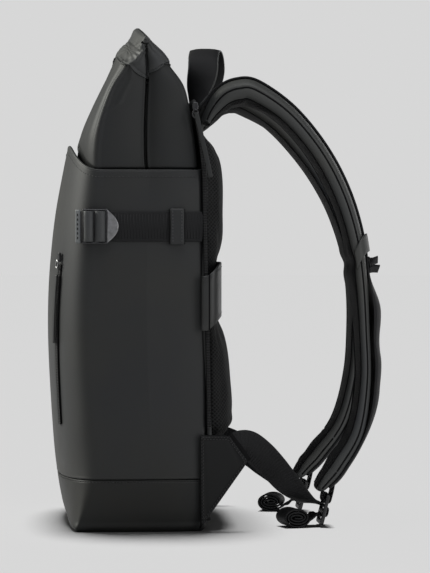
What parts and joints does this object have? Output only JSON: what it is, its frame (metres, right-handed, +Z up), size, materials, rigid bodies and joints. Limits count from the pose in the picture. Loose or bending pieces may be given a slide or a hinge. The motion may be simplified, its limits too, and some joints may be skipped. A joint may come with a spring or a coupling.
{
  "type": "roll-top backpack",
  "caption": "Black coated-cloth roll-top backpack with a padded mesh back, curved shoulder straps, side compression straps, a luggage band and a grab handle, standing on its base.",
  "frame": {"origin": "middle of the flat underside of the base", "axes": "+Z up, -Y towards the front of the bag, +Y towards the wearer's back, +X towards the wearer's right"},
  "size_m": [0.305, 0.3289, 0.482],
  "materials": {
    "coated_cloth": "matte rubbery coating on black cloth",
    "webbing": "ribbed black nylon webbing",
    "mesh_padding": "black spacer mesh over foam",
    "buckle_metal": "dark satin anodised metal",
    "buckle_plastic": "black moulded plastic",
    "zip": "black coated zip tape"
  },
  "bodies": {
    "root": {"base_tub": "coated_cloth", "main_shell": "coated_cloth", "roll_collar": "coated_cloth", "roll_cap": "coated_cloth", "back_panel": "coated_cloth", "upper_back_pad": "mesh_padding", "lower_back_pad": "mesh_padding", "luggage_band": "coated_cloth", "grab_handle": "webbing", "shoulder_strap_right": "mesh_padding", "shoulder_strap_left": "mesh_padding", "strap_strip_right": "webbing", "strap_strip_left": "webbing", "strap_cuff_right": "coated_cloth", "strap_cuff_left": "coated_cloth", "chest_tab_right": "webbing", "chest_tab_left": "webbing", "wing_right": "coated_cloth", "wing_left": "coated_cloth", "lower_webbing_right": "webbing", "lower_webbing_left": "webbing", "webbing_roll_right": "webbing", "webbing_roll_left": "webbing", "strap_buckle_right": "buckle_plastic", "strap_buckle_left": "buckle_plastic", "strap_end_tab_right": "webbing", "strap_end_tab_left": "webbing", "side_strap_right": "webbing", "side_strap_left": "webbing", "side_anchor_right": "webbing", "side_anchor_left": "webbing", "side_buckle_right": "buckle_metal", "side_buckle_left": "buckle_metal", "side_keeper_right": "coated_cloth", "side_keeper_left": "coated_cloth", "front_zip": "zip", "front_zip_slider": "buckle_metal", "front_zip_pull": "coated_cloth", "back_zip": "zip", "back_zip_slider": "buckle_metal", "back_zip_pull": "coated_cloth"}
  },
  "joints": []
}
